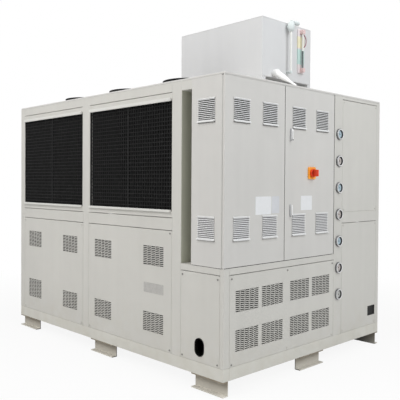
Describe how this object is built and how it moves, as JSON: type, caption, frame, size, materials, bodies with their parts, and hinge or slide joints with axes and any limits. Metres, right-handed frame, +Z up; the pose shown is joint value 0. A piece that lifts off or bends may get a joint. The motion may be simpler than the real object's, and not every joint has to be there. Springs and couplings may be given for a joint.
{
  "type": "air cooled water chiller",
  "caption": "Box-shaped air cooled water chiller on channel feet with coil screens, slotted and louvred panels, a two-door control cabinet, a gauge strip, roof fans and a roof tank.",
  "frame": {"origin": "on the ground under the middle of the whole object's box", "axes": "+Z up, +X towards the end with the control cabinet's doors, -Y towards the long side that has the open recess beside the cabinet"},
  "size_m": [2.7894, 1.982, 2.655],
  "materials": {
    "housing_paint": "warm light grey powder coat, satin with a fine orange-peel",
    "cabinet_paint": "light grey powder coat, satin",
    "coil_black": "black coated fins, matte",
    "screen_black": "black coated wire, matte",
    "fan_black": "black, satin",
    "galvanised": "zinc plated, satin",
    "bright_metal": "bright plated, slightly worn",
    "switch_yellow": "orange yellow, semi-gloss",
    "switch_red": "red, semi-gloss",
    "tank_paint": "pale grey coat, satin",
    "tube_white": "pale plastic, semi-gloss"
  },
  "bodies": {
    "housing": {"base_side_rails": "housing_paint", "base_end_rails": "housing_paint", "base_pan": "housing_paint", "feet": "housing_paint", "front_posts": "housing_paint", "rear_posts": "housing_paint", "front_rails": "housing_paint", "rear_rails": "housing_paint", "end_rails": "housing_paint", "front_panels": "housing_paint", "cable_panel": "housing_paint", "rear_panels": "housing_paint", "far_end_panels": "housing_paint", "end_lower_panel": "housing_paint", "end_tall_panels": "housing_paint", "gauge_strip": "housing_paint", "front_vent_plates": "housing_paint", "rear_vent_plates": "housing_paint", "end_vent_plates": "housing_paint", "coil_end_wall": "housing_paint", "compartment_wall": "housing_paint", "service_shelf": "housing_paint", "roof_deck": "housing_paint", "screen_tracks": "housing_paint", "cabinet_back": "cabinet_paint", "cabinet_sides": "cabinet_paint", "cabinet_floor": "cabinet_paint", "cabinet_roof": "cabinet_paint", "side_louvres": "cabinet_paint", "condenser_coils": "coil_black", "front_screens": "screen_black", "rear_screens": "screen_black", "drain_grille": "screen_black", "fan_drums": "fan_black", "fan_guards": "fan_black", "mounting_plate": "galvanised", "door_pivots": "galvanised", "pressure_gauges": "bright_metal", "tank_stand": "tank_paint", "tank_floor": "tank_paint", "tank_sides": "tank_paint", "tank_ends": "tank_paint", "tank_lid": "tank_paint", "sight_tube": "tube_white", "level_gauge": "tube_white", "fill_fitting": "tube_white", "overflow_pipe": "tube_white"},
    "left_door": {"left_door": "cabinet_paint", "left_door_louvres": "cabinet_paint"},
    "right_door": {"right_door": "cabinet_paint", "right_door_louvres": "cabinet_paint", "switch_plate": "switch_yellow", "handle_plates": "bright_metal"},
    "switch_knob": {"switch_knob": "switch_red"},
    "upper_handle": {"upper_handle": "bright_metal"},
    "lower_handle": {"lower_handle": "bright_metal"}
  },
  "joints": [
    {"name": "left_door_hinge", "type": "hinge", "parent": "housing", "child": "left_door", "pos_m": [1.3243, -0.969, 1.4585], "axis": [0, 0, -1], "range_deg": [0, 110]},
    {"name": "right_door_hinge", "type": "hinge", "parent": "housing", "child": "right_door", "pos_m": [1.3243, 0.266, 1.4585], "axis": [0, 0, 1], "range_deg": [0, 110]},
    {"name": "switch_turn", "type": "hinge", "parent": "right_door", "child": "switch_knob", "pos_m": [1.3403, -0.03, 1.466], "axis": [1, 0, 0], "range_deg": [0, 90]},
    {"name": "upper_handle_turn", "type": "hinge", "parent": "right_door", "child": "upper_handle", "pos_m": [1.3463, -0.2865, 1.7], "axis": [-1, 0, 0], "range_deg": [0, 90]},
    {"name": "lower_handle_turn", "type": "hinge", "parent": "right_door", "child": "lower_handle", "pos_m": [1.3463, -0.2865, 1.153], "axis": [-1, 0, 0], "range_deg": [0, 90]}
  ]
}
